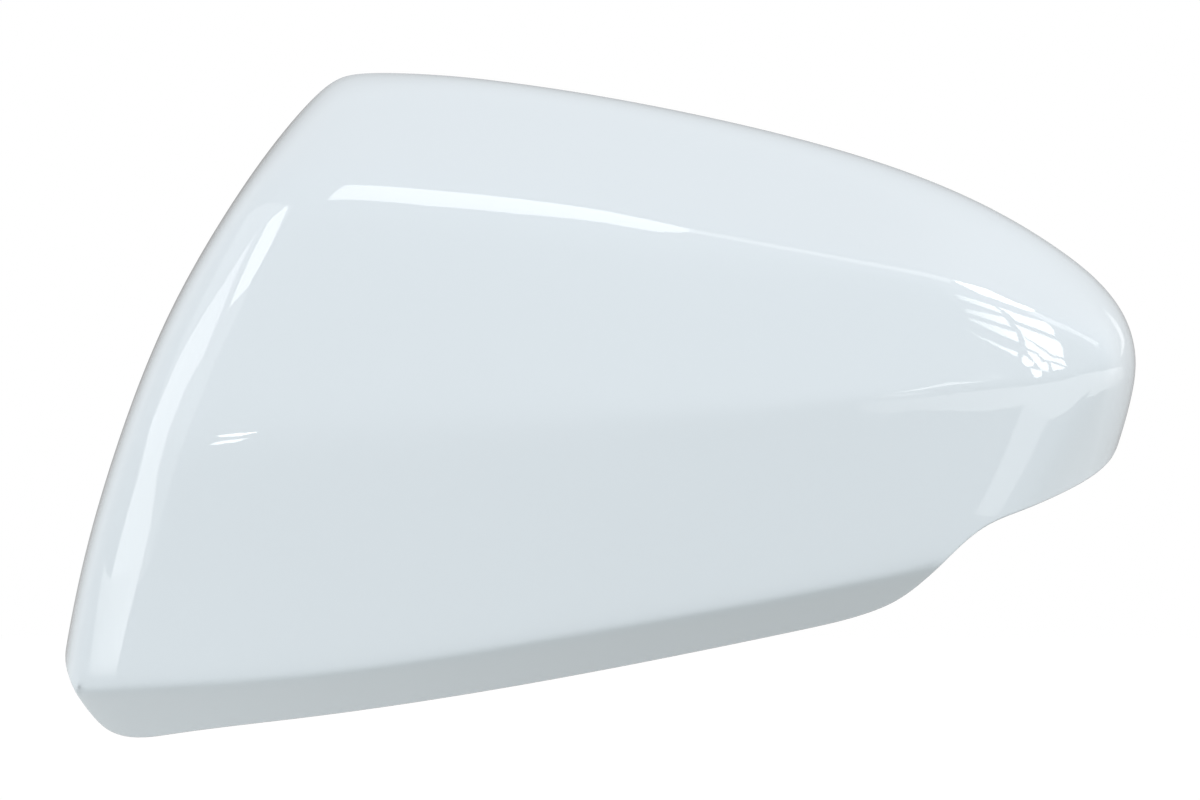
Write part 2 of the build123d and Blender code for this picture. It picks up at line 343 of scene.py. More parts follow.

# %% [markdown]
# The wall is 2.5 mm thick: the inner skin is the outer one moved in along its normals. Its net bunches up
# in tight corners, so its points are then averaged with their neighbours a few times. Where the two skins
# are cut, at the flat rim and along the lower edge, a lip with small rounded corners closes the mesh, as on
# a real moulding. The paint ends part of the way round the lip; the bare grey beyond it shows from the front
# as a thin dark line along the lower edge, bare plastic that is also painted shade for the dark outline
# there.
# A Solidify modifier would also thicken the skin, but would leave the rim tilted and its corners sharp.

# %% Nets of the two skins and the lip between them
columns = column_turns()
depth_of_column = room(on_skin(columns, np.zeros_like(columns)))
lip = np.minimum(LIP, 0.3 * depth_of_column)


def skin_net(depth, rows):
    """A skin's points by column and row, the ways inward there, and its exact corners, below and above."""
    low = turn_at_cut(columns, -1, depth, lip)
    high = turn_at_cut(columns, 1, depth, lip)
    corners = [wall_point(columns, turn_at_cut(columns, way, depth, 0), depth) for way in (-1, 1)]
    on_outside = on_skin(columns[:, None], row_turns(columns, low, high, rows))
    ways = inward(on_outside)
    return on_outside + depth * ways, ways, corners


def pole_points(depth):
    """The two ends of a skin, on the rim."""
    p = wall_point(np.array([-1.0, 2.0]), np.zeros(2), depth)
    p[:, 1] = RIM_Y
    return p


outer, outer_ways, outer_corners = skin_net(0, ROWS)
inner, inner_ways, inner_corners = skin_net(WALL, INNER_ROWS)
for _ in range(RELAX):
    around = inner[:-2, 1:-1] + inner[2:, 1:-1] + inner[1:-1, :-2] + inner[1:-1, 2:]
    inner[1:-1, 1:-1] = inner[1:-1, 1:-1] / 2 + around / 8
outer_poles = pole_points(0)
inner_poles = pole_points(WALL)
print("outer skin", outer.shape, "inner skin", inner.shape)
print("lowest", outer.min((0, 1)).round(2), "highest", outer.max((0, 1)).round(2))

# %% Mesh of the shell
ROUND = np.linspace(0, 1, 6)[1:]
LAND = [0.25, 0.5, 0.75]
# Paint stops after these steps round the lip; the bare grey beyond shows along the lower edge as a thin dark
# line, bare plastic that is also painted shade for the outline.
PAINT_STEPS = 3


def loop(poles, low, high):
    """Points once round the opening: a pole, along the top, the other pole, back along the lower edge."""
    return np.concatenate([poles[:1], high, poles[1:], low[::-1]])


def lip_points():
    """Points across the lip, from the outer skin's last row to the inner skin's, at each place round it."""
    size = loop(np.zeros((2, 1)), lip[:, None], lip[:, None])
    start = loop(outer_poles, outer[:, 0], outer[:, -1])
    end = loop(inner_poles, inner[:, 0], inner[:, -1])
    out = loop(outer_poles, *outer_corners)
    back = loop(inner_poles, *inner_corners)
    across = back - out
    across = across / np.sqrt((across**2).sum(1))[:, None]
    first = out + size * across
    last = back - size * across
    points = [start * (1 - t)**2 + 2 * out * t * (1 - t) + first * t**2 for t in ROUND]
    points += [first + (last - first) * t for t in LAND]
    points += [last * t**2 + 2 * back * t * (1 - t) + end * (1 - t)**2 for t in ROUND[::-1]]
    return np.stack(points, 1)


def net_faces(index):
    """Quads of a net of vertex numbers."""
    return np.stack([index[:-1, :-1], index[1:, :-1], index[1:, 1:], index[:-1, 1:]], -1).reshape(-1, 4)


def end_faces(pole, column):
    """Triangles from a pole to the column beside it."""
    return np.stack([np.full(len(column) - 1, pole), column[:-1], column[1:]], -1)


def shell():
    """Vertices, normals and faces of the hollow shell, the faces in two lists: painted and bare."""
    lip_net = lip_points()
    count = np.cumsum([outer.size // 3, 2, lip_net.size // 3, inner.size // 3, 2])
    out = np.arange(count[0]).reshape(outer.shape[:2])
    out_poles = count[0] + np.arange(2)
    across = count[1] + np.arange(lip_net.size // 3).reshape(lip_net.shape[:2])
    back = count[2] + np.arange(inner.size // 3).reshape(inner.shape[:2])
    back_poles = count[3] + np.arange(2)
    first = loop(out_poles, out[:, 0], out[:, -1])
    last = loop(back_poles, back[:, 0], back[:, -1])
    strip = np.column_stack([first, across, last])
    strip = np.concatenate([strip, strip[:1]])
    painted = [net_faces(out), net_faces(strip[:, :PAINT_STEPS + 1])]
    painted += [end_faces(out_poles[0], out[0]), end_faces(out_poles[1], out[-1])[:, ::-1]]
    # Lip steps past PAINT_STEPS are bare: along the lower edge they give a thin dark line, bare plastic that
    # is also painted shade for the outline.
    bare = [net_faces(back)[:, ::-1], net_faces(strip[:, PAINT_STEPS:])]
    bare += [end_faces(back_poles[0], back[0])[:, ::-1], end_faces(back_poles[1], back[-1])]
    points = [outer.reshape(-1, 3), outer_poles, lip_net.reshape(-1, 3), inner.reshape(-1, 3), inner_poles]
    points = np.concatenate(points)
    normals = np.zeros_like(points)
    normals[:count[0]] = -outer_ways.reshape(-1, 3)
    normals[out_poles] = -inward(outer_poles)
    normals[back] = inner_ways
    normals[back_poles] = inward(outer_poles)
    as_lists = [[face for part in group for face in part.tolist()] for group in (painted, bare)]
    return points, normals, as_lists


points, normals, (painted, bare) = shell()
print("shell:", len(points), "vertices,", len(painted), "painted faces,", len(bare), "bare faces")

# %% The moulding as an object
def object_from(name, points, edges, faces):
    """A new mesh object from points in millimetres."""
    mesh = bpy.data.meshes.new(name)
    mesh.from_pydata((np.asarray(points, float) * MM).tolist(), edges, faces)
    piece = bpy.data.objects.new(name, mesh)
    bpy.context.scene.collection.objects.link(piece)
    return piece


moulding = object_from("mirror_cover_moulding", points, [], painted + bare)
moulding.data.shade_smooth()
moulding.data.normals_split_custom_set_from_vertices(normals.tolist())
print("moulding:", len(moulding.data.polygons), "faces")

# %% [markdown]
# Body paint is a smooth colour coat under a clear lacquer. The lacquer mirrors the studio sharply and is
# never quite flat: a fine ripple called orange peel bends what it mirrors. The colour drifts a little where
# the spray lay thicker. A photograph of paint could be laid on as an image, but noise in Object coordinates
# has no seams and is as fine close up, so two Noise textures make the drift and the ripple.

# %% Helper for nodes
def node(tree, kind, inputs=(), **settings):
    """Adds a node, sets its properties, and sets its inputs to values or joins them to output sockets."""
    made = tree.nodes.new(kind)
    for name, value in settings.items():
        setattr(made, name, value)
    for key, value in dict(inputs).items():
        if isinstance(value, bpy.types.NodeSocket):
            tree.links.new(value, made.inputs[key])
        else:
            made.inputs[key].default_value = value
    return made


def principled(name, **inputs):
    """A new material; words of the inputs are joined by underlines. Returns it, its tree and its shader."""
    material = bpy.data.materials.new(name)
    material.use_nodes = True
    shader = material.node_tree.nodes["Principled BSDF"]
    for key, value in inputs.items():
        shader.inputs[key.replace("_", " ")].default_value = value
    return material, material.node_tree, shader


# %% Gloss body paint
PAINT = (0.706, 0.768, 0.814, 1)
PAINT_THICK = (0.718, 0.782, 0.830, 1)
body_paint, tree, shader = principled(
    "gloss_body_paint", Roughness=0.5, Specular_IOR_Level=0.0, Coat_Weight=1.0, Coat_Roughness=0.0)
place = node(tree, "ShaderNodeTexCoord").outputs["Object"]
drift = node(tree, "ShaderNodeTexNoise", {"Vector": place, "Scale": 22.0, "Detail": 2.0, "Roughness": 0.4})
colour = node(tree, "ShaderNodeMix", {"Factor": drift.outputs["Fac"], "A": PAINT, "B": PAINT_THICK},
              data_type="RGBA")
tree.links.new(colour.outputs["Result"], shader.inputs["Base Color"])
peel = node(tree, "ShaderNodeTexNoise", {"Vector": place, "Scale": 420.0, "Detail": 1.0})
ripple = node(tree, "ShaderNodeBump", {
    "Height": peel.outputs["Fac"], "Strength": 0.012, "Distance": 0.0002})
tree.links.new(ripple.outputs["Normal"], shader.inputs["Coat Normal"])
print("paint nodes:", len(tree.nodes))

# %% [markdown]
# The inside of the cover is the bare plastic as it leaves the mould, a satin grey. The paint is sprayed
# from the front, so a little mist goes round the rim and fades within a finger's breadth. The mist follows
# the distance from the rim, which here is the Object Y coordinate, broken up by noise. It could be painted
# by hand as a mask, but the rim is flat, so one coordinate is enough.

# %% Bare moulding with paint mist at the rim
MIST_START = 0.028
PLASTIC_DARK = (0.19, 0.20, 0.21, 1)
PLASTIC_LIGHT = (0.25, 0.26, 0.27, 1)
bare_moulding, tree, shader = principled("bare_moulding", Roughness=0.55)
place = node(tree, "ShaderNodeTexCoord").outputs["Object"]
mottle = node(tree, "ShaderNodeTexNoise", {"Vector": place, "Scale": 140.0, "Detail": 4.0})
plastic = node(tree, "ShaderNodeMix", {
    "Factor": mottle.outputs["Fac"], "A": PLASTIC_DARK, "B": PLASTIC_LIGHT}, data_type="RGBA")
depth = node(tree, "ShaderNodeSeparateXYZ", {"Vector": place}).outputs["Y"]
mist = node(tree, "ShaderNodeMapRange", {"Value": depth, "From Min": MIST_START, "From Max": RIM_Y * MM},
            interpolation_type="SMOOTHSTEP")
speck = node(tree, "ShaderNodeMath", {
    0: mist.outputs["Result"], 1: mottle.outputs["Fac"]}, operation="MULTIPLY")
colour = node(tree, "ShaderNodeMix", {
    "Factor": speck.outputs[0], "A": plastic.outputs["Result"], "B": PAINT}, data_type="RGBA")
tree.links.new(colour.outputs["Result"], shader.inputs["Base Color"])
grain = node(tree, "ShaderNodeTexNoise", {"Vector": place, "Scale": 1800.0})
texture = node(tree, "ShaderNodeBump", {
    "Height": grain.outputs["Fac"], "Strength": 0.15, "Distance": 0.0002})
tree.links.new(texture.outputs["Normal"], shader.inputs["Normal"])
moulding.data.materials.append(body_paint)
moulding.data.materials.append(bare_moulding)
moulding.data.polygons.foreach_set("material_index", [0] * len(painted) + [1] * len(bare))
print("bare plastic nodes:", len(tree.nodes))

# %% [markdown]
# Inside, two pegs place the cover on the housing, six sprung hooks hold it, and thin ribs stiffen the
# front. All of them stand on the inner wall, which is nowhere flat, so each must reach down to it. They
# could be placed by hand, one by one; a Geometry Nodes tree drops them instead: a Raycast node looks
# forward from each point and finds how far off the wall is. The inner skin goes in as a guide object.

# %% Helpers for the fittings inside
ROOT = 1.0
SHARP_ANGLE = 40.0
LONGEST_REACH = 0.2


def fitting_tree(name, sizes):
    """A Geometry Nodes tree with inputs for a guide wall, a material and sizes; and its input sockets."""
    tree = bpy.data.node_groups.new(name, "GeometryNodeTree")
    kinds = [("Geometry", "Geometry"), ("Inner wall", "Object"), ("End piece", "Object"),
             ("Plastic", "Material")]
    for label, kind in kinds + [(size, "Float") for size in sizes]:
        tree.interface.new_socket(label, in_out="INPUT", socket_type=f"NodeSocket{kind}")
    tree.interface.new_socket("Geometry", in_out="OUTPUT", socket_type="NodeSocketGeometry")
    return tree, node(tree, "NodeGroupInput").outputs


def find_wall(tree, inputs):
    """Raycast node from each point forwards to the inner wall."""
    wall = node(tree, "GeometryNodeObjectInfo", {"Object": inputs["Inner wall"]}).outputs["Geometry"]
    return node(tree, "GeometryNodeRaycast", {
        "Target Geometry": wall, "Ray Direction": (0, -1, 0), "Ray Length": LONGEST_REACH})


def vector(tree, x, y, z):
    """Output socket of a vector of three numbers or sockets."""
    return node(tree, "ShaderNodeCombineXYZ", {"X": x, "Y": y, "Z": z}).outputs["Vector"]


def sum_of(tree, a, b, operation="ADD"):
    """Output socket of a Math node on two numbers or sockets."""
    return node(tree, "ShaderNodeMath", {0: a, 1: b}, operation=operation).outputs[0]


def finish_tree(tree, inputs, parts):
    """Joins the parts, realizes instances and sets the material."""
    joined = node(tree, "GeometryNodeJoinGeometry")
    for part in parts:
        tree.links.new(part, joined.inputs[0])
    real = node(tree, "GeometryNodeRealizeInstances", {"Geometry": joined.outputs[0]})
    coloured = node(tree, "GeometryNodeSetMaterial", {
        "Geometry": real.outputs[0], "Material": inputs["Plastic"]})
    node(tree, "NodeGroupOutput", {"Geometry": coloured.outputs[0]})


def make_fittings(name, tree, spots, edges, values, turns=()):
    """Runs a tree on points in millimetres and returns the result as a plain mesh object."""
    piece = object_from(name, spots, edges, [])
    if len(turns):
        piece.data.attributes.new("turn", "FLOAT", "POINT").data.foreach_set("value", turns)
    modifier = piece.modifiers.new(name, "NODES")
    modifier.node_group = tree
    for item in tree.interface.items_tree:
        if item.in_out == "INPUT" and item.name in values:
            modifier[item.identifier] = values[item.name]
    bpy.context.view_layer.update()
    solid = bpy.data.meshes.new_from_object(piece.evaluated_get(bpy.context.evaluated_depsgraph_get()))
    piece.modifiers.remove(modifier)
    piece.data = solid
    solid.name = name
    solid.shade_smooth()
    solid.set_sharp_from_angle(angle=math.radians(SHARP_ANGLE))
    print(name, len(solid.polygons), "faces")
    return piece


wall_count = inner.shape[0] * inner.shape[1]
wall_guide = object_from("inner_wall_guide", inner.reshape(-1, 3), [],
                         net_faces(np.arange(wall_count).reshape(inner.shape[:2])).tolist())

# %% [markdown]
# A peg is a boss from the wall up to a shoulder, which the housing rests on, and a thinner pin with a
# chamfered end that goes through a hole. The boss is a Cylinder one unit long, stretched to the distance
# that the ray found plus a little root in the wall; the pin and its chamfer are a Cylinder and a Cone.

# %% Locating pegs
PEGS = [(0.0, 0.0), (-72.0, -22.0)]
BOSS_RADIUS, PIN_RADIUS, PIN_LENGTH, PIN_CHAMFER = 5.5, 3.0, 12.0, 1.0
tree, inputs = fitting_tree("locating_pegs", ["Boss radius", "Pin radius", "Pin length", "Chamfer", "Root"])
reach = sum_of(tree, find_wall(tree, inputs).outputs["Hit Distance"], inputs["Root"])
upright = node(tree, "FunctionNodeEulerToRotation", {"Euler": (-math.pi / 2, 0, 0)}).outputs[0]
boss = node(tree, "GeometryNodeMeshCylinder", {
    "Vertices": 64, "Radius": inputs["Boss radius"], "Depth": 1.0})
boss = node(tree, "GeometryNodeTransform", {"Geometry": boss.outputs["Mesh"], "Translation": (0, 0, -0.5)})
bosses = node(tree, "GeometryNodeInstanceOnPoints", {
    "Points": inputs["Geometry"], "Instance": boss.outputs[0], "Rotation": upright,
    "Scale": vector(tree, 1.0, 1.0, reach)})
shank = sum_of(tree, inputs["Pin length"], inputs["Chamfer"], "SUBTRACT")
pin = node(tree, "GeometryNodeMeshCylinder", {
    "Vertices": 48, "Radius": inputs["Pin radius"], "Depth": shank})
half = vector(tree, 0.0, 0.0, sum_of(tree, shank, 0.5, "MULTIPLY"))
pin = node(tree, "GeometryNodeTransform", {"Geometry": pin.outputs["Mesh"], "Translation": half})
end_radius = sum_of(tree, inputs["Pin radius"], inputs["Chamfer"], "SUBTRACT")
end = node(tree, "GeometryNodeMeshCone", {
    "Vertices": 48, "Radius Top": end_radius, "Radius Bottom": inputs["Pin radius"],
    "Depth": inputs["Chamfer"]})
end = node(tree, "GeometryNodeTransform", {
    "Geometry": end.outputs["Mesh"], "Translation": vector(tree, 0.0, 0.0, shank)})
whole_pin = node(tree, "GeometryNodeJoinGeometry")
tree.links.new(pin.outputs[0], whole_pin.inputs[0])
tree.links.new(end.outputs[0], whole_pin.inputs[0])
pins = node(tree, "GeometryNodeInstanceOnPoints", {
    "Points": inputs["Geometry"], "Instance": whole_pin.outputs[0], "Rotation": upright})
finish_tree(tree, inputs, [bosses.outputs[0], pins.outputs[0]])
pegs = make_fittings("locating_pegs", tree, [(x, 0, z) for x, z in PEGS], [], {
    "Inner wall": wall_guide, "Plastic": bare_moulding, "Boss radius": BOSS_RADIUS * MM,
    "Pin radius": PIN_RADIUS * MM, "Pin length": PIN_LENGTH * MM, "Chamfer": PIN_CHAMFER * MM,
    "Root": ROOT * MM})

# %% [markdown]
# A sprung hook is a flat stem with a barb at its end that catches the edge of a slot. Each has the same
# end, a small prism from an outline, but a stem of its own length and a turn of its own. The turn is an
# attribute on the points, so that one tree serves all six hooks; six meshes made by hand would do as well,
# but each would have to be made again whenever the wall changed.

# %% Sprung hooks
HOOKS = [(-84.0, 22.0, 150.0), (-34.0, 42.0, 95.0), (34.0, 32.0, 80.0), (78.0, 14.0, 60.0),
         (22.0, -32.0, 260.0), (-44.0, -43.0, 260.0)]
HOOK_WIDTH, HOOK_THICKNESS, HOOK_END_Y = 10.0, 2.2, 10.0
BARB, BARB_LENGTH, BARB_LEAD, HOOK_TIP = 1.8, 4.0, 2.6, 1.6


def prism(name, outline, width):
    """A closed prism of an outline in x and y, its width along z."""
    n = len(outline)
    points = [(x, y, side * width / 2) for side in (-1, 1) for x, y in outline]
    sides = [(i, (i + 1) % n, n + (i + 1) % n, n + i) for i in range(n)]
    return object_from(name, points, [], [tuple(range(n))[::-1], tuple(range(n, 2 * n))] + sides)


t = HOOK_THICKNESS / 2
hook_end = prism("hook_end", [(-t, -BARB_LENGTH), (t + BARB, -BARB_LENGTH), (t + BARB, -BARB_LEAD),
                              (HOOK_TIP - t, 0), (-t, 0)], HOOK_WIDTH)
tree, inputs = fitting_tree("sprung_hooks", ["Thickness", "Width", "End length", "Root"])
turn = node(tree, "GeometryNodeInputNamedAttribute", {"Name": "turn"}, data_type="FLOAT").outputs[0]
turned = node(tree, "FunctionNodeEulerToRotation", {"Euler": vector(tree, 0.0, turn, 0.0)}).outputs[0]
end = node(tree, "GeometryNodeObjectInfo", {"Object": inputs["End piece"]}).outputs["Geometry"]
ends = node(tree, "GeometryNodeInstanceOnPoints", {
    "Points": inputs["Geometry"], "Instance": end, "Rotation": turned})
drop = vector(tree, 0.0, sum_of(tree, inputs["End length"], -1.0, "MULTIPLY"), 0.0)
under_end = node(tree, "GeometryNodeSetPosition", {
    "Geometry": inputs["Geometry"], "Offset": drop}).outputs[0]
reach = sum_of(tree, find_wall(tree, inputs).outputs["Hit Distance"], inputs["Root"])
stem = node(tree, "GeometryNodeMeshCube", {"Size": vector(tree, inputs["Thickness"], 1.0, inputs["Width"])})
stem = node(tree, "GeometryNodeTransform", {"Geometry": stem.outputs["Mesh"], "Translation": (0, -0.5, 0)})
stems = node(tree, "GeometryNodeInstanceOnPoints", {
    "Points": under_end, "Instance": stem.outputs[0], "Rotation": turned,
    "Scale": vector(tree, 1.0, reach, 1.0)})
finish_tree(tree, inputs, [ends.outputs[0], stems.outputs[0]])
hooks = make_fittings("sprung_hooks", tree, [(x, HOOK_END_Y, z) for x, z, _ in HOOKS], [], {
    "Inner wall": wall_guide, "End piece": hook_end, "Plastic": bare_moulding,
    "Thickness": HOOK_THICKNESS * MM, "Width": HOOK_WIDTH * MM, "End length": BARB_LENGTH * MM,
    "Root": ROOT * MM},
    turns=[-math.radians(way) for _, _, way in HOOKS])

# %% [markdown]
# A rib is a thin upright strip that follows the inner wall at an even height. Each starts as a straight
# edge across the opening, is cut into short steps, and is dropped on the wall. Extruding the edge to the
# rear gives a sheet, and extruding the sheet sideways gives its thickness; the sheet itself, turned round,
# closes the far side. Where the wall slopes, the strip rises by more, so that its height square to the wall
# is even. A Boolean could cut plain plates to the wall instead, with small uneven faces along the cut.

# %% Stiffening ribs
RIBS = [((-92.0, -22.0), (86.0, -6.0)), ((-72.0, -48.0), (-72.0, 30.0)), ((0.0, -44.0), (0.0, 44.0)),
        ((46.0, -32.0), (46.0, 30.0))]
RIB_HEIGHT, RIB_THICKNESS, RIB_STEP = 6.0, 1.6, 2.0
tree, inputs = fitting_tree("stiffening_ribs", ["Height", "Thickness", "Step", "Root"])
line = node(tree, "GeometryNodeMeshToCurve", {"Mesh": inputs["Geometry"]}).outputs[0]
line = node(tree, "GeometryNodeResampleCurve", {
    "Curve": line, "Length": inputs["Step"]}, mode="LENGTH").outputs[0]
line = node(tree, "GeometryNodeCurveToMesh", {"Curve": line}).outputs[0]
found = find_wall(tree, inputs)
lean = node(tree, "ShaderNodeSeparateXYZ", {"Vector": found.outputs["Hit Normal"]}).outputs["Y"]
lean = node(tree, "ShaderNodeMath", {0: lean}, operation="ABSOLUTE").outputs[0]
rise = sum_of(tree, sum_of(tree, inputs["Height"], lean, "DIVIDE"), inputs["Root"])
line = node(tree, "GeometryNodeStoreNamedAttribute", {
    "Geometry": line, "Name": "rise", "Value": rise}).outputs[0]
sunk = vector(tree, 0.0, sum_of(tree, inputs["Root"], -1.0, "MULTIPLY"), 0.0)
line = node(tree, "GeometryNodeSetPosition", {
    "Geometry": line, "Position": found.outputs["Hit Position"], "Offset": sunk}).outputs[0]
rise = node(tree, "GeometryNodeInputNamedAttribute", {"Name": "rise"}, data_type="FLOAT").outputs[0]
sheet = node(tree, "GeometryNodeExtrudeMesh", {
    "Mesh": line, "Offset": vector(tree, 0.0, rise, 0.0), "Offset Scale": 1.0},
    mode="EDGES").outputs["Mesh"]
aside = node(tree, "ShaderNodeVectorMath", {
    0: node(tree, "GeometryNodeInputNormal").outputs[0],
    "Scale": sum_of(tree, inputs["Thickness"], -0.5, "MULTIPLY")}, operation="SCALE").outputs[0]
sheet = node(tree, "GeometryNodeSetPosition", {"Geometry": sheet, "Offset": aside}).outputs[0]
plate = node(tree, "GeometryNodeExtrudeMesh", {
    "Mesh": sheet, "Offset Scale": inputs["Thickness"], "Individual": False}, mode="FACES").outputs["Mesh"]
far_side = node(tree, "GeometryNodeFlipFaces", {"Mesh": sheet}).outputs[0]
both = node(tree, "GeometryNodeJoinGeometry")
tree.links.new(plate, both.inputs[0])
tree.links.new(far_side, both.inputs[0])
closed = node(tree, "GeometryNodeMergeByDistance", {
    "Geometry": both.outputs[0], "Distance": 0.00001}).outputs[0]
finish_tree(tree, inputs, [closed])
rib_ends = [(x, RIM_Y, z) for line in RIBS for x, z in line]
rib_lines = [(2 * i, 2 * i + 1) for i in range(len(RIBS))]
ribs = make_fittings("stiffening_ribs", tree, rib_ends, rib_lines, {
    "Inner wall": wall_guide, "Plastic": bare_moulding, "Height": RIB_HEIGHT * MM,
    "Thickness": RIB_THICKNESS * MM, "Step": RIB_STEP * MM, "Root": ROOT * MM})
bpy.data.objects.remove(wall_guide)
bpy.data.objects.remove(hook_end)

# %% [markdown]
# On the real cover the shell, pegs, hooks and ribs come out of the mould as one. Here they are four meshes,
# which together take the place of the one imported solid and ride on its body. They could be joined into one
# mesh; kept apart, each is easy to find and to change.

# %% The pieces in the frame
for piece in (moulding, pegs, hooks, ribs):
    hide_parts("mirror_cover")
    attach(piece, "root")
    print(piece.name, "rides on root")

# %% [markdown]
# The camera stands square in front of the cover, a metre and a half from its rim, with a long lens, as for
# a catalogue picture. A lens that long flattens the depth, which keeps the outline true. An orthographic
# camera would flatten it wholly, more than a catalogue lens does.

# %% Camera
CAMERA_DISTANCE = 1500.0
FRAME_WIDTH = 269.16
camera = bpy.data.objects.new("camera", bpy.data.cameras.new("camera"))
camera.data.sensor_width = 36.0
camera.data.lens = 36.0 * CAMERA_DISTANCE / FRAME_WIDTH
camera.location = (0, (RIM_Y - CAMERA_DISTANCE) * MM, 0)
camera.rotation_euler = (math.pi / 2, 0, 0)
bpy.context.scene.collection.objects.link(camera)
bpy.context.scene.camera = camera
print("lens, mm:", round(camera.data.lens, 1))

# %% [markdown]
# The studio is white all round, so that gloss paint mirrors white, but the light that falls on the cover
# comes from tall soft walls round it more than from the ceiling, so that its front is as bright as its top.
# One world can do both: a Light Path node tells what the camera and mirrored rays see from the light that
# scatters, and the scattered light fades with the square of the height. Area lamps alone would leave the
# background grey.

# %% World
HORIZON = 1.87
CEILING_DROP = 1.78
INBOARD_RISE = 0.15


def seen_directly(tree):
    """1 for rays of the camera and for mirrored and refracted rays, 0 for the light that scatters."""
    path = node(tree, "ShaderNodeLightPath").outputs
    seen = sum_of(tree, path["Is Camera Ray"], path["Is Glossy Ray"], "MAXIMUM")
    return sum_of(tree, seen, path["Is Transmission Ray"], "MAXIMUM")


bpy.context.scene.view_settings.view_transform = "Standard"
world = bpy.data.worlds.new("studio")
bpy.context.scene.world = world
world.use_nodes = True
tree = world.node_tree
way = node(tree, "ShaderNodeTexCoord").outputs["Generated"]
axes = node(tree, "ShaderNodeSeparateXYZ", {"Vector": way})
height = axes.outputs["Z"]
drop = sum_of(tree, sum_of(tree, height, height, "MULTIPLY"), CEILING_DROP, "MULTIPLY")
wall_level = sum_of(tree, HORIZON, sum_of(tree, axes.outputs["X"], INBOARD_RISE, "MULTIPLY"))
level = sum_of(tree, wall_level, drop, "SUBTRACT")
strength = node(tree, "ShaderNodeMix", {"Factor": seen_directly(tree), "A": level, "B": 1.0})
background = tree.nodes["Background"]
background.inputs["Color"].default_value = (1, 1, 1, 1)
tree.links.new(strength.outputs["Result"], background.inputs["Strength"])
print("world nodes:", len(tree.nodes))

# %% [markdown]
# What makes gloss read as gloss is the shape of the lights in it: a long box overhead along the shoulder,
# a window at the nose, a tall box at the outboard side, low strips under the crease. Each is a card that
# glows, hidden from the camera. A card is laid out backwards, as photographers do by looking along the
# surface: a mark of the picture is followed from the camera to the skin, mirrored there, and carried on to
# the plane of the card. Highlights painted on the cover would stay put when the view turns; these move.
# Marks are pixels of the 1200 by 800 picture, each with the share of the card's glow there if it isn't all.
# A place is the azimuth, elevation and distance of a card's plane, in degrees and millimetres.

# %% From marks of the picture to cards
PICTURE = (1200, 800)
MARK = FRAME_WIDTH / PICTURE[0]
EYE = np.array([0.0, RIM_Y - CAMERA_DISTANCE, 0.0])


def mirrored(marks):
    """Points of the skin seen at marks of the picture, and the ways in which the view is mirrored there."""
    across = (marks[:, 0] - PICTURE[0] / 2) * MARK
    upward = (PICTURE[1] / 2 - marks[:, 1]) * MARK
    way = np.stack([across, np.full_like(across, CAMERA_DISTANCE), upward], 1)
    way = way / np.sqrt((way**2).sum(1))[:, None]

    def short_of_skin(reach):
        return 1 - 1 / np.sqrt(beyond(EYE + reach[:, None] * way))

    near = np.full_like(across, CAMERA_DISTANCE - 95)
    p = EYE + solve(short_of_skin, near, near + 115, 20)[:, None] * way
    normal = -inward(p)
    return p, way - 2 * (way * normal).sum(1)[:, None] * normal


def panel(name, place, radiance, marks):
    """A glowing card on the plane at a place, with its corners where the marks are mirrored to."""
    azimuth, elevation, distance = math.radians(place[0]), math.radians(place[1]), place[2]
    away = np.array([math.sin(azimuth) * math.cos(elevation), -math.cos(azimuth) * math.cos(elevation),
                     math.sin(elevation)])
    p, way = mirrored(np.array([mark[:2] for mark in marks], float))
    corners = p + ((distance - p @ away) / (way @ away))[:, None] * way
    card = object_from(name, corners, [], [tuple(range(len(marks)))])
    shares = [mark[2] if len(mark) > 2 else 1.0 for mark in marks]
    card.data.attributes.new("share", "FLOAT", "POINT").data.foreach_set("value", shares)
    glow = bpy.data.materials.new(name)
    glow.use_nodes = True
    glow.node_tree.nodes.clear()
    share = node(glow.node_tree, "ShaderNodeAttribute", attribute_name="share").outputs["Fac"]
    emission = node(glow.node_tree, "ShaderNodeEmission", {
        "Strength": sum_of(glow.node_tree, share, radiance, "MULTIPLY")})
    node(glow.node_tree, "ShaderNodeOutputMaterial", {"Surface": emission.outputs[0]})
    card.data.materials.append(glow)
    stage_unseen(card)
    print(name, "has", len(marks), "corners")


def stage_unseen(card):
    """Stage a card that shows in mirrored light alone."""
    card.visible_camera = False
    card.visible_diffuse = False
    card.visible_shadow = False


# %% Panels along the shoulder
OVERHEAD = (0, 60, 1000)
INBOARD_HIGH = (75, 62, 700)
OVERHEAD_BOX = [
    (345, 185), (430, 190), (520, 199), (600, 210), (690, 229), (690, 232), (600, 222), (520, 214),
    (430, 206), (328, 200),
]
panel("overhead_box", OVERHEAD, 5.0, OVERHEAD_BOX)
SHOULDER_STRIP = [
    (690, 229), (730, 236), (760, 242), (810, 251), (860, 260.5), (905, 269), (950, 279.5),
    (950, 283.5), (905, 272.5), (860, 264), (810, 254.5), (760, 245.5), (730, 239.5), (690, 232.5),
]
panel("shoulder_strip", INBOARD_HIGH, 2.4, SHOULDER_STRIP)
NOSE_STRIP = [
    (1026.5, 308.5), (1045, 317), (1063.5, 324.5), (1082, 334), (1098.5, 343), (1096.5, 347),
    (1082, 337.5), (1063.5, 329.5), (1045, 321.5), (1026.5, 312.5),
]
panel("nose_strip", INBOARD_HIGH, 3.0, NOSE_STRIP)
NOSE_CRESCENT = [(1103, 309), (1117, 323), (1124.5, 339.5), (1120, 359), (1121, 339.5), (1113.5, 324.5)]
panel("nose_crescent", (130, 12, 600), 1.2, NOSE_CRESCENT)

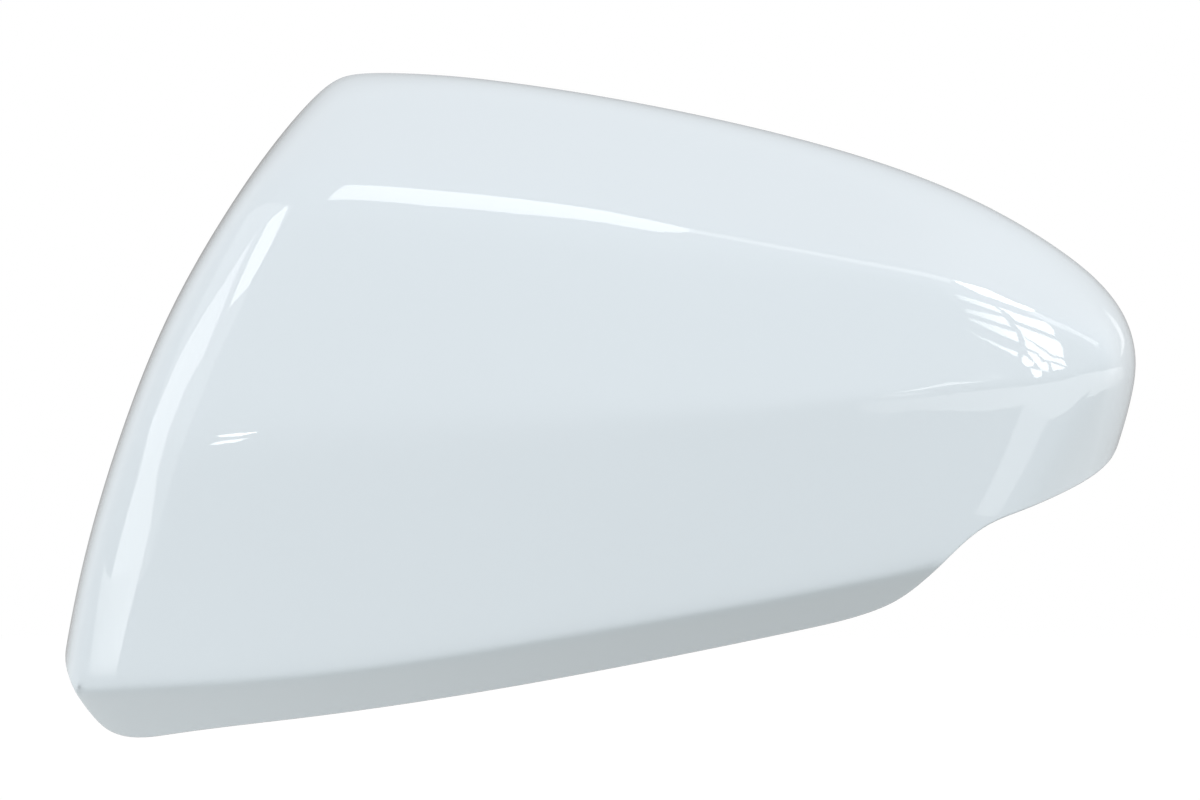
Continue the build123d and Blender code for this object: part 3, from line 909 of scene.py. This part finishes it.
# %% Window at the nose
INBOARD_WINDOW = (48, 20, 1000)
WINDOW_TOP = [(951.5, 280), (987.5, 289.5), (1008, 299), (1026.5, 310.5), (1000.5, 301), (980, 294)]
WINDOW_PANES = [
    [(996, 306), (1045, 322), (1055, 336), (1014.5, 320)],
    [(1014.5, 324), (1059.5, 341.5), (1063.5, 358), (1023, 336)],
    [(1023, 337), (1063.5, 360), (1067, 366.5), (1049.5, 361), (1037.5, 352.5), (1026.5, 347)],
    [(1025.5, 350), (1037.5, 354.5), (1048.5, 365.5), (1048.5, 372), (1037.5, 366.5), (1034, 361)],
    [(1049.5, 362), (1066, 367), (1061.5, 369.5), (1053.5, 371)],
    [(1022, 358), (1024.5, 355), (1034, 362.5), (1033, 366), (1021.5, 361.5)],
    [(1030.5, 368), (1042, 370.5), (1042, 375.5), (1035, 378.5)],
]
FAR_PANES = [
    [(955, 293.5, 0.45), (994, 306), (1002.5, 313.5), (960, 299, 0.45)],
    [(964.5, 309, 0.45), (1004.5, 317.5), (1010.5, 326.5), (967.5, 312.5, 0.45)],
    [(967.5, 317.5, 0.45), (1015.5, 332), (1019, 342.5), (969, 320, 0.45)],
    [(971, 332, 0.45), (1018, 352.5), (1017, 356), (973, 334, 0.45)],
]
panel("window_top", INBOARD_HIGH, 8.0, WINDOW_TOP)
for number, pane in enumerate(WINDOW_PANES + FAR_PANES):
    panel(f"window_pane_{number}", INBOARD_WINDOW, 8.0, pane)
print("window panes:", len(WINDOW_PANES + FAR_PANES))

# %% Panels at the outboard side
OUTBOARD_SIDE = (-36, 15, 700)
OUTBOARD_PANE = [(288.5, 205), (267.5, 223), (228.5, 309), (249.5, 285.5), (278, 230)]
panel("outboard_pane", (-36, 15, 690), 6.0, OUTBOARD_PANE)
OUTBOARD_BOX = [
    (257, 233), (226, 280), (198, 324), (178, 360), (153, 419), (138, 478), (123, 530), (111, 580),
    (138, 580), (150, 530), (157, 474), (170, 427), (186, 387), (204, 355), (220, 316), (232, 284),
    (245, 255),
]
panel("outboard_box", OUTBOARD_SIDE, 4.6, OUTBOARD_BOX)
OUTBOARD_LOW = [
    (105, 560, 0.5), (98, 600, 0.5), (93, 640, 0.55), (90, 660, 0.5), (88, 676, 0.25), (115, 676, 0.3),
    (119, 658, 0.9), (123, 640), (133, 600), (143, 560),
]
panel("outboard_low", (-40, -4, 430), 4.4, OUTBOARD_LOW)
OUTBOARD_GLOW = [
    (248, 215), (212, 280), (178, 350), (152, 420), (130, 500), (110, 580), (146, 580), (166, 500),
    (192, 420), (216, 360), (240, 310), (268, 250), (292, 205),
]
panel("outboard_glow", (-30, 12, 760), 1.9, OUTBOARD_GLOW)
SPARK = (-11, 4, 900)
SPARK_UPPER = [(218, 435.5), (240, 433), (262, 431.5), (242, 436), (220, 437.5)]
panel("spark_upper", SPARK, 10.0, SPARK_UPPER)
SPARK_LOWER = [(207, 445), (222, 441), (249, 438), (237, 442), (217, 444.5)]
panel("spark_lower", SPARK, 10.0, SPARK_LOWER)

# %% Panels along the crease and on the lobe below the nose
CREASE_LIGHT = (30, 2, 800)
LOW_STRIP = [
    (860, 403.5, 0.6), (934, 396, 0.8), (1026.5, 386), (1082, 374.5), (1100, 371), (1100, 389.5),
    (1082, 397), (1026.5, 404.5), (934, 410, 0.8), (860, 413.5, 0.6),
]
panel("low_strip", (55, -6, 600), 2.8, LOW_STRIP)
LOW_STRIP_END = [
    (1098, 373), (1122, 366, 0.36), (1124, 376, 0.33), (1112, 388, 0.4), (1095, 396, 0.8), (1086, 399),
]
panel("low_strip_end", (105, -4, 460), 2.8, LOW_STRIP_END)
LOBE_STRIP = [(1024.5, 405), (1055, 404.5), (1030, 459.5), (997, 515), (974.5, 513.5), (1004.5, 454)]
panel("lobe_strip", (50, -14, 600), 2.4, LOBE_STRIP)
CREASE_PATCH = [(963.5, 378.5, 0.6), (997, 373), (1008, 378.5), (978.5, 382.5, 0.6)]
panel("crease_patch", CREASE_LIGHT, 1.8, CREASE_PATCH)
CREASE_STREAK = [(887.5, 394), (949, 382.5), (998, 380), (949, 385), (924.5, 389.5)]
panel("crease_streak", CREASE_LIGHT, 4.5, CREASE_STREAK)
CREASE_GLINT = [(860, 398.5), (906, 393.5), (934, 391.5), (906, 396)]
panel("crease_glint", CREASE_LIGHT, 2.5, CREASE_GLINT)

# %% [markdown]
# A white cover on white needs an edge. Photographers stand a grey card behind it: only the last few
# millimetres of a rolled edge are turned far enough to mirror it, so the outline darkens and the faces stay
# clean. The card is darkest in its middle and fades to white, so that the edge is soft. A line drawn round
# the cover would be as dark at sharp edges as at round ones.

# %% Edge card
CARD_Y = 600.0
CARD_REACH = 700.0
CARD_DARK = 0.3
CARD_MIDDLE = 70.0
corners = [(x * CARD_REACH, CARD_Y, z * CARD_REACH) for x, z in ((-1, -1), (1, -1), (1, 1), (-1, 1))]
edge_card = object_from("edge_card", corners, [], [(0, 1, 2, 3)])
card_grey = bpy.data.materials.new("edge_card")
card_grey.use_nodes = True
tree = card_grey.node_tree
tree.nodes.clear()
place = node(tree, "ShaderNodeTexCoord").outputs["Object"]
off = node(tree, "ShaderNodeVectorMath", {0: place, 1: (0, CARD_Y * MM, 0)}, operation="DISTANCE")
grey = node(tree, "ShaderNodeMapRange", {
    "Value": off.outputs["Value"], "From Min": CARD_MIDDLE * MM, "From Max": CARD_REACH * MM,
    "To Min": CARD_DARK, "To Max": 1.0})
emission = node(tree, "ShaderNodeEmission", {"Strength": grey.outputs["Result"]})
node(tree, "ShaderNodeOutputMaterial", {"Surface": emission.outputs[0]})
edge_card.data.materials.append(card_grey)
stage_unseen(edge_card)
print("edge card, mm wide:", 2 * CARD_REACH)

# %% [markdown]
# The floor is pale and well below the cover. Seen by the camera or mirrored in the paint it glows almost
# white, so that it runs into the background without a line. To scattered light it is grey, which keeps the
# underside of the cover from getting as bright as its front, with a pool of light painted into that grey at
# the outboard end, where the bevel of the cover is lightest. A lamp under the cover could lighten that end
# too; the painted pool of light needs none.

# %% Floor
FLOOR_DROP = 120.0
BOUNCE_NEAR = (0.86, 0.88, 0.87, 1)
BOUNCE_FAR = (0.36, 0.38, 0.37, 1)
# Painted light: round this spot the floor's colour for scattered light is paler, a painted pool of light
# that lightens the outboard end of the cover.
PAINTED_LIGHT_SPOT = (-0.2, 0.0, 0.0)
SPOT_INNER, SPOT_OUTER = 0.05, 0.28
FLOOR_SIZE = 8.0
SEEN_GLOW = 0.72
SEEN_SHADE = 0.3
floor_z = cad_box[0][2] - FLOOR_DROP * MM
bpy.ops.mesh.primitive_plane_add(size=FLOOR_SIZE, location=(0, 0, floor_z))
floor = bpy.context.object
floor.name = "floor"
floor_paper, tree, shader = principled("floor_paper", Roughness=1.0, Specular_IOR_Level=0.0)
place = node(tree, "ShaderNodeTexCoord").outputs["Object"]
# Distance from the painted pool of light, which fades from its pale colour out to the grey.
off = node(tree, "ShaderNodeVectorMath", {0: place, 1: PAINTED_LIGHT_SPOT}, operation="DISTANCE")
fade = node(tree, "ShaderNodeMapRange", {
    "Value": off.outputs["Value"], "From Min": SPOT_INNER, "From Max": SPOT_OUTER})
bounce = node(tree, "ShaderNodeMix", {
    "Factor": fade.outputs["Result"], "A": BOUNCE_NEAR, "B": BOUNCE_FAR}, data_type="RGBA")
tree.links.new(bounce.outputs["Result"], shader.inputs["Base Color"])
glow = node(tree, "ShaderNodeEmission", {"Strength": SEEN_GLOW})
shade = node(tree, "ShaderNodeBsdfDiffuse", {"Color": (SEEN_SHADE, SEEN_SHADE, SEEN_SHADE, 1)})
seen = node(tree, "ShaderNodeAddShader", {0: glow.outputs[0], 1: shade.outputs[0]})
mix = node(tree, "ShaderNodeMixShader", {
    "Fac": seen_directly(tree), 1: shader.outputs[0], 2: seen.outputs[0]})
tree.links.new(mix.outputs[0], tree.nodes["Material Output"].inputs["Surface"])
floor.data.materials.append(floor_paper)
print("floor at", round(floor_z, 4), "m")
